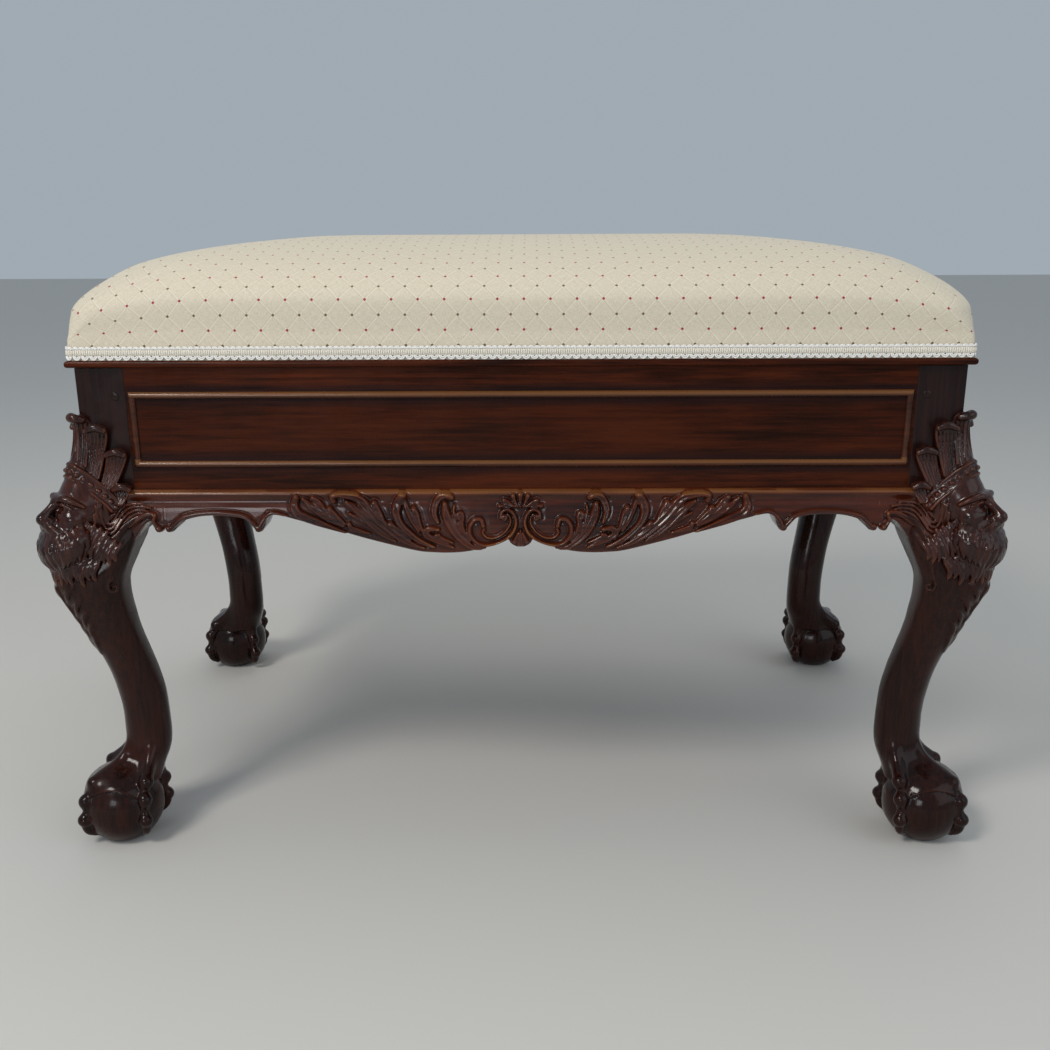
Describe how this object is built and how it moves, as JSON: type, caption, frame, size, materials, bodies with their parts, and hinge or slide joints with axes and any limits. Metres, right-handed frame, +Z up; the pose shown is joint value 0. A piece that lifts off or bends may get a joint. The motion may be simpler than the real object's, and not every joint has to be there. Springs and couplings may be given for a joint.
{
  "type": "window seat",
  "caption": "Carved mahogany window seat: panelled box with a hinged upholstered lid over a storage well, on cabriole legs with plumed masks at the knees and claw-and-ball feet.",
  "frame": {"origin": "on the floor under the middle of the seat", "axes": "+X along the seat, -Y towards the front, +Z up"},
  "size_m": [0.8658, 0.5358, 0.5551],
  "materials": {
    "mahogany": "dark polished mahogany, worn to a red-gold on the high points",
    "peg_wood": "polished end grain",
    "carcass_wood": "plain unpolished pine, aged",
    "hinge_brass": "aged brass",
    "hinge_pin": "drawn steel",
    "screw_brass": "aged brass",
    "stuffing": "hair and wadding",
    "cover_fabric": "ivory weave with a small lattice",
    "gimp": "ivory gimp braid",
    "tack_steel": "blued steel"
  },
  "bodies": {
    "frame": {"front_rail": "mahogany", "back_rail": "mahogany", "left_rail": "mahogany", "right_rail": "mahogany", "front_panel_bead": "mahogany", "right_panel_bead": "mahogany", "back_panel_bead": "mahogany", "left_panel_bead": "mahogany", "front_apron": "mahogany", "right_apron": "mahogany", "back_apron": "mahogany", "left_apron": "mahogany", "front_ear_left": "mahogany", "front_ear_right": "mahogany", "right_ear_front": "mahogany", "right_ear_back": "mahogany", "back_ear_right": "mahogany", "back_ear_left": "mahogany", "left_ear_back": "mahogany", "left_ear_front": "mahogany", "front_left_leg": "mahogany", "front_right_leg": "mahogany", "back_right_leg": "mahogany", "back_left_leg": "mahogany", "tenon_pegs": "peg_wood", "well_floor": "carcass_wood", "floor_ledgers": "carcass_wood", "glue_blocks": "carcass_wood", "left_hinge_box_leaf": "hinge_brass", "right_hinge_box_leaf": "hinge_brass", "left_hinge_pin": "hinge_pin", "right_hinge_pin": "hinge_pin", "box_hinge_screws": "screw_brass"},
    "lid": {"lid_front_rail": "mahogany", "lid_left_rail": "mahogany", "lid_right_rail": "mahogany", "lid_back_rail": "mahogany", "seat_board": "carcass_wood", "left_hinge_lid_leaf": "hinge_brass", "right_hinge_lid_leaf": "hinge_brass", "lid_hinge_screws": "screw_brass", "seat_stuffing": "stuffing", "seat_cover": "cover_fabric", "gimp_braid": "gimp", "cover_tacks": "tack_steel"}
  },
  "joints": [
    {"name": "lid_hinge", "type": "hinge", "parent": "frame", "child": "lid", "pos_m": [0, 0.231, 0.4502], "axis": [-1, 0, 0], "range_deg": [0, 100]}
  ]
}
